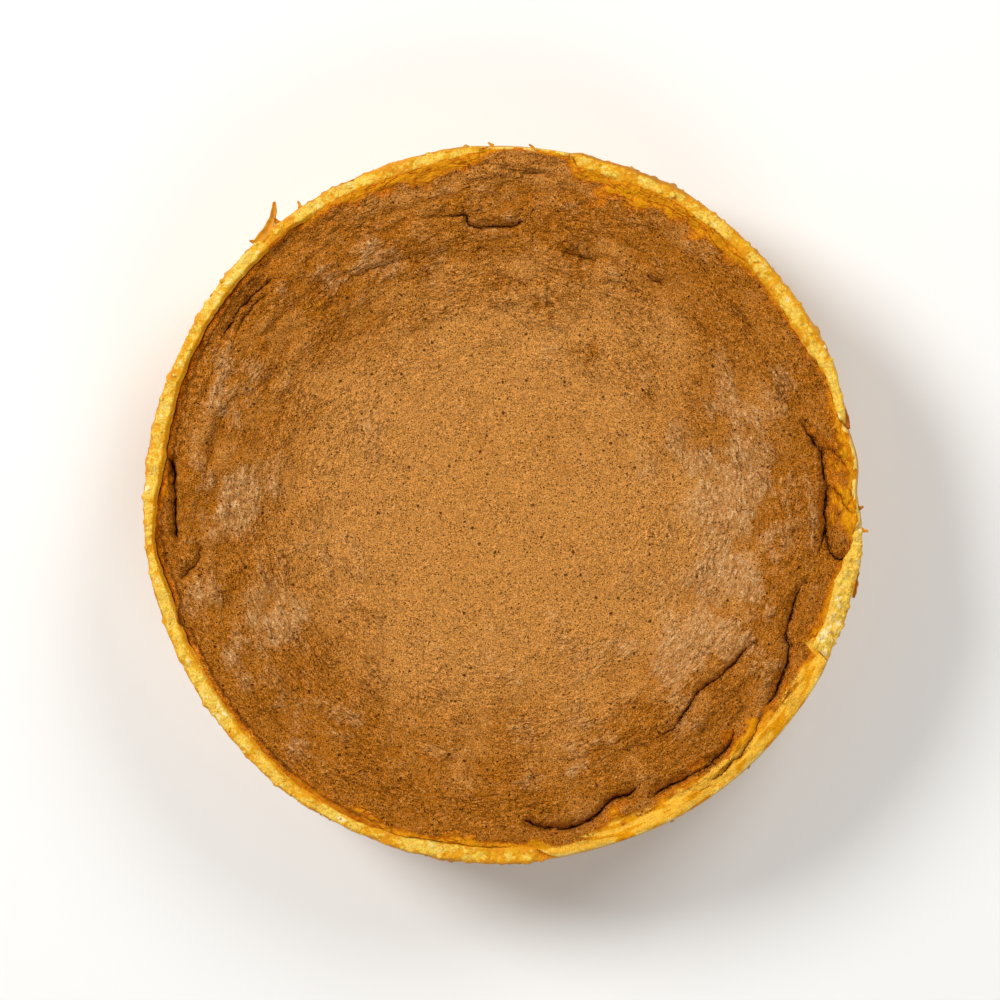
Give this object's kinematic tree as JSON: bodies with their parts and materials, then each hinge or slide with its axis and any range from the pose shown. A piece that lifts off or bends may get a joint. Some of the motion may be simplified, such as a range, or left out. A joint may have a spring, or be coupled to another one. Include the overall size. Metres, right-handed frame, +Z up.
{
  "type": "baked cheesecake",
  "caption": "Whole crustless baked cheesecake: browned wrinkled top, sunken in the middle, inside a rim of pale torn curd, on a flat base.",
  "frame": {"origin": "middle of the flat base, below the middle of the box round the cake", "axes": "+Z up, from the base to the browned top; +X and +Y lie in the base, with the smooth rolled stretch of the rim towards +X and -Y"},
  "size_m": [0.241, 0.2408, 0.0493],
  "materials": {
    "curd": "matte",
    "browned_skin": "satin"
  },
  "bodies": {
    "root": {"cheesecake": "curd"}
  },
  "joints": []
}
